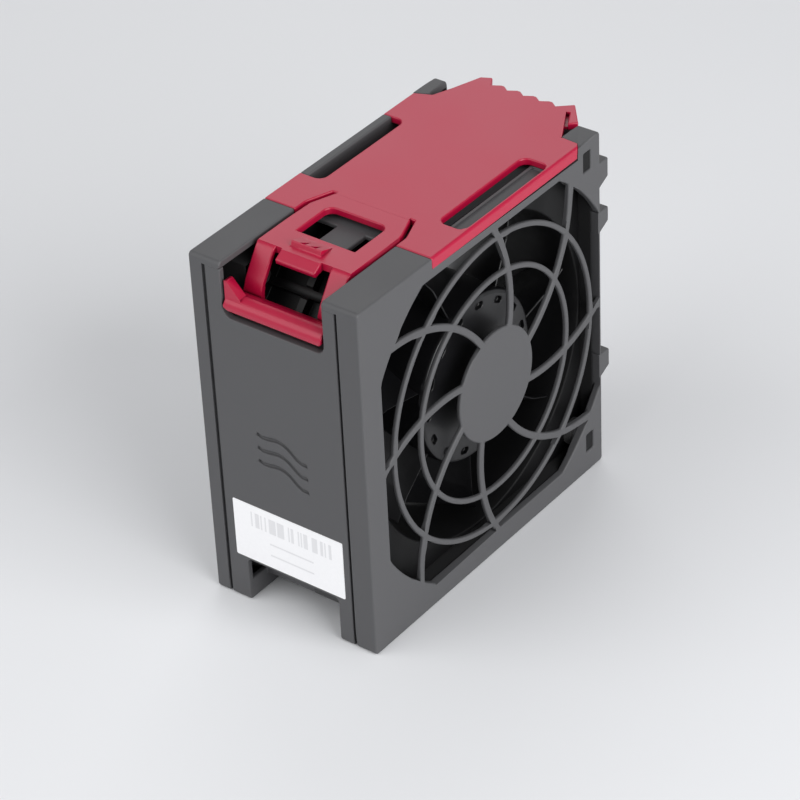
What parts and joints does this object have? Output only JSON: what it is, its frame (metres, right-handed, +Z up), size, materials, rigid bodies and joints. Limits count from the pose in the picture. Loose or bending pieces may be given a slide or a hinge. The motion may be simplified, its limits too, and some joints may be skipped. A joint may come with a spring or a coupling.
{
  "type": "server fan module",
  "caption": "Hot-plug server fan module: axial fan in a moulded casing with spiral grilles, a red top cover and a sprung release latch.",
  "frame": {"origin": "middle of the underside of the foot rails, under the fan's axis and midway between the intake and exhaust faces", "axes": "+X along the fan's axis towards the intake grille, +Y from the front face with the finger bar to the back, +Z up"},
  "size_m": [0.0522, 0.1108, 0.1054],
  "materials": {
    "casing_plastic": "moulded, fine texture, satin",
    "cover_plastic": "moulded, burgundy red, satin gloss",
    "label_paper": "coated paper, bare",
    "fan_frame_plastic": "glass-filled, moulded, satin black",
    "impeller_plastic": "moulded, black, gloss",
    "yoke_steel": "drawn, zinc plated",
    "magnet_ferrite": "bonded ferrite",
    "bush_brass": "turned",
    "bearing_steel": "ground",
    "spring_steel": "blued spring steel",
    "core_laminations": "stamped laminations",
    "insulator_nylon": "moulded nylon",
    "winding_copper": "enamelled copper wire",
    "board_laminate": "solder resist over glass epoxy",
    "chip_epoxy": "moulded epoxy",
    "wire_jacket": "PVC jacket",
    "plug_plastic": "moulded nylon, black",
    "contact_brass": "gold-flashed brass",
    "isolator_rubber": "moulded rubber"
  },
  "bodies": {
    "casing": {"intake_cover": "casing_plastic", "middle_frame": "casing_plastic", "exhaust_cover": "casing_plastic", "top_cover": "cover_plastic", "label_sticker": "label_paper", "fan_frame": "fan_frame_plastic", "bearing_tube": "bush_brass", "front_bearing_outer_ring": "bearing_steel", "rear_bearing_outer_ring": "bearing_steel", "stator_core": "core_laminations", "front_insulator": "insulator_nylon", "rear_insulator": "insulator_nylon", "stator_coils": "winding_copper", "circuit_board": "board_laminate", "drive_chip": "chip_epoxy", "hall_sensor": "chip_epoxy", "lead_wires": "wire_jacket", "connector_housing": "plug_plastic", "connector_contacts": "contact_brass", "intake_isolators": "isolator_rubber", "exhaust_isolators": "isolator_rubber"},
    "rotor": {"impeller": "impeller_plastic", "rotor_yoke": "yoke_steel", "ring_magnet": "magnet_ferrite", "rotor_bush": "bush_brass", "shaft": "bearing_steel", "front_bearing_inner_ring": "bearing_steel", "rear_bearing_inner_ring": "bearing_steel", "preload_spring": "spring_steel", "retaining_clip": "spring_steel"},
    "latch": {"release_latch": "cover_plastic"}
  },
  "joints": [
    {"name": "impeller_spin", "type": "hinge", "parent": "casing", "child": "rotor", "pos_m": [0, 0, 0.0524], "axis": [1, 0, 0], "continuous": true},
    {"name": "latch_press", "type": "hinge", "parent": "casing", "child": "latch", "pos_m": [-0.0006, -0.0133, 0.103], "axis": [1, 0, 0], "range_deg": [0, 2], "stiffness_Nm_per_rad": 5}
  ]
}
